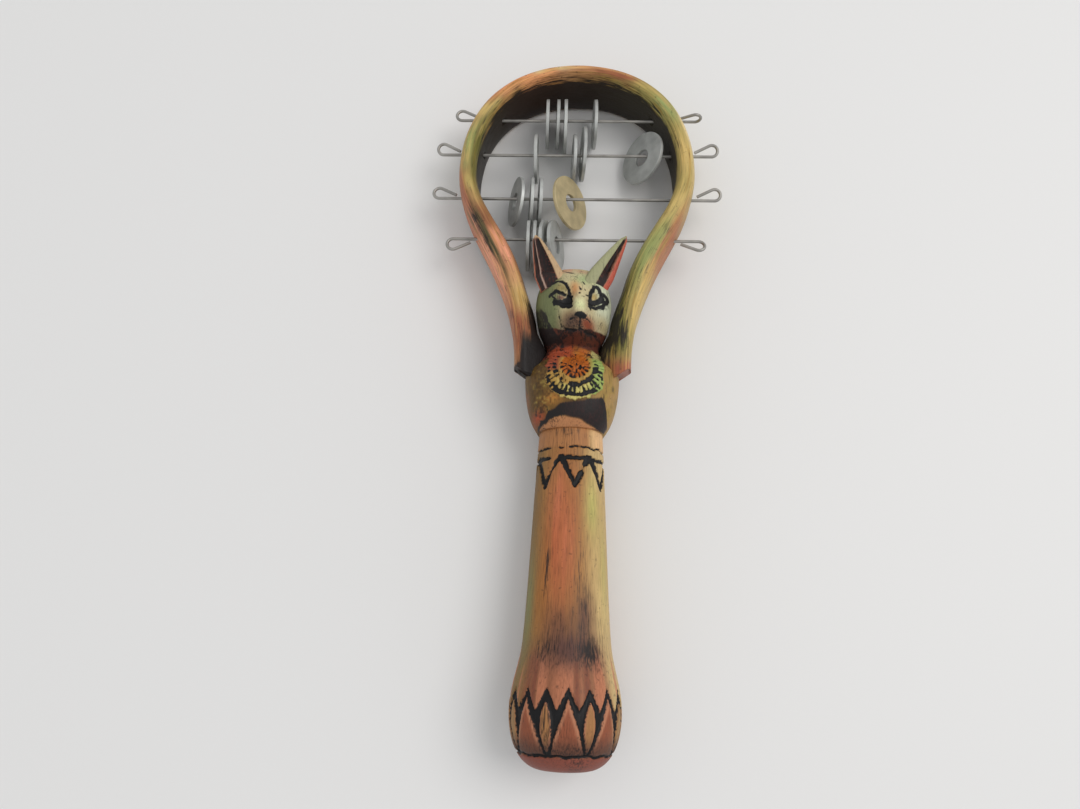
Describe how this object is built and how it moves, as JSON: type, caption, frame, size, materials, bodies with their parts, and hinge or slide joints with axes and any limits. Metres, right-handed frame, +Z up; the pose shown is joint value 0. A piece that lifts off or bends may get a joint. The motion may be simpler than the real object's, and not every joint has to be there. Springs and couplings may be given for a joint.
{
  "type": "sistrum",
  "caption": "hand rattle with a lotus-knob handle, a cat bust and a deep hoop crossed by loose wires that carry sliding washers",
  "frame": {"origin": "bottom centre of the box, lying on its back as pictured, the knob and the back of the hoop on Z = 0", "axes": "+X to the right wire ends, +Y from the butt of the handle to the top of the hoop, +Z up, the way the cat faces"},
  "size_m": [0.1054, 0.2421, 0.0372],
  "materials": {
    "painted_handle": "brush-painted resin, olive gold over copper",
    "painted_bust": "brush-painted resin, celadon face and gold collar",
    "painted_hoop": "brush-painted resin, green, copper and ochre",
    "dowel_wood": "plain beech",
    "steel": "drawn wire",
    "zinc": "zinc plated",
    "brass": "pale worn brass"
  },
  "bodies": {
    "frame": {"handle": "painted_handle", "neck_dowel": "dowel_wood", "cat_bust": "painted_bust", "hoop": "painted_hoop", "foot_pin_left": "steel", "foot_pin_right": "steel"},
    "wire_1": {"wire_1": "steel"},
    "wire_2": {"wire_2": "steel"},
    "wire_3": {"wire_3": "steel"},
    "wire_4": {"wire_4": "steel"},
    "washer_1a": {"washer_1a": "zinc"},
    "washer_1b": {"washer_1b": "zinc"},
    "washer_1c": {"washer_1c": "zinc"},
    "washer_1d": {"washer_1d": "zinc"},
    "washer_2a": {"washer_2a": "zinc"},
    "washer_2b": {"washer_2b": "zinc"},
    "washer_2c": {"washer_2c": "zinc"},
    "washer_2d": {"washer_2d": "zinc"},
    "washer_3a": {"washer_3a": "zinc"},
    "washer_3b": {"washer_3b": "zinc"},
    "washer_3c": {"washer_3c": "zinc"},
    "washer_3d": {"washer_3d": "brass"},
    "washer_4a": {"washer_4a": "zinc"},
    "washer_4b": {"washer_4b": "zinc"},
    "washer_4c": {"washer_4c": "zinc"},
    "washer_4d": {"washer_4d": "zinc"}
  },
  "joints": [
    {"name": "wire_1_slide", "type": "slide", "parent": "frame", "child": "wire_1", "axis": [1, 0, 0], "range_m": [-0.0015, 0.0015]},
    {"name": "wire_2_slide", "type": "slide", "parent": "frame", "child": "wire_2", "axis": [1, 0, 0], "range_m": [-0.0015, 0.0015]},
    {"name": "wire_3_slide", "type": "slide", "parent": "frame", "child": "wire_3", "axis": [1, 0, 0], "range_m": [-0.0015, 0.0015]},
    {"name": "wire_4_slide", "type": "slide", "parent": "frame", "child": "wire_4", "axis": [1, 0, 0], "range_m": [-0.0015, 0.0015]},
    {"name": "washer_1a_slide", "type": "slide", "parent": "wire_1", "child": "washer_1a", "axis": [1, 0, 0], "range_m": [-0.0021, 0.0021]},
    {"name": "washer_1b_slide", "type": "slide", "parent": "wire_1", "child": "washer_1b", "axis": [1, 0, 0], "range_m": [-0.0021, 0.0011]},
    {"name": "washer_1c_slide", "type": "slide", "parent": "wire_1", "child": "washer_1c", "axis": [1, 0, 0], "range_m": [-0.0011, 0.0018]},
    {"name": "washer_1d_slide", "type": "slide", "parent": "wire_1", "child": "washer_1d", "axis": [1, 0, 0], "range_m": [-0.0024, 0.0071]},
    {"name": "washer_2a_slide", "type": "slide", "parent": "wire_2", "child": "washer_2a", "axis": [1, 0, 0], "range_m": [-0.0135, 0.0021]},
    {"name": "washer_2b_slide", "type": "slide", "parent": "wire_2", "child": "washer_2b", "axis": [1, 0, 0], "range_m": [-0.0018, 0.0016]},
    {"name": "washer_2c_slide", "type": "slide", "parent": "wire_2", "child": "washer_2c", "axis": [1, 0, 0], "range_m": [-0.0016, 0.0024]},
    {"name": "washer_2d_slide", "type": "slide", "parent": "wire_2", "child": "washer_2d", "axis": [1, 0, 0], "range_m": [-0.0122, 0.0005]},
    {"name": "washer_3a_slide", "type": "slide", "parent": "wire_3", "child": "washer_3a", "axis": [1, 0, 0], "range_m": [-0.005, 0.0018]},
    {"name": "washer_3b_slide", "type": "slide", "parent": "wire_3", "child": "washer_3b", "axis": [1, 0, 0], "range_m": [-0.0018, 0.0016]},
    {"name": "washer_3c_slide", "type": "slide", "parent": "wire_3", "child": "washer_3c", "axis": [1, 0, 0], "range_m": [-0.0016, 0.0014]},
    {"name": "washer_3d_slide", "type": "slide", "parent": "wire_3", "child": "washer_3d", "axis": [1, 0, 0], "range_m": [-0.0017, 0.0215]},
    {"name": "washer_4a_slide", "type": "slide", "parent": "wire_4", "child": "washer_4a", "axis": [1, 0, 0], "range_m": [-0.0012, 0.0006]},
    {"name": "washer_4b_slide", "type": "slide", "parent": "wire_4", "child": "washer_4b", "axis": [1, 0, 0], "range_m": [-0.0006, 0.0002]},
    {"name": "washer_4c_slide", "type": "slide", "parent": "wire_4", "child": "washer_4c", "axis": [1, 0, 0], "range_m": [-0.0002, 0.0014]},
    {"name": "washer_4d_slide", "type": "slide", "parent": "wire_4", "child": "washer_4d", "axis": [1, 0, 0], "range_m": [-0.0014, 0.0017]}
  ]
}
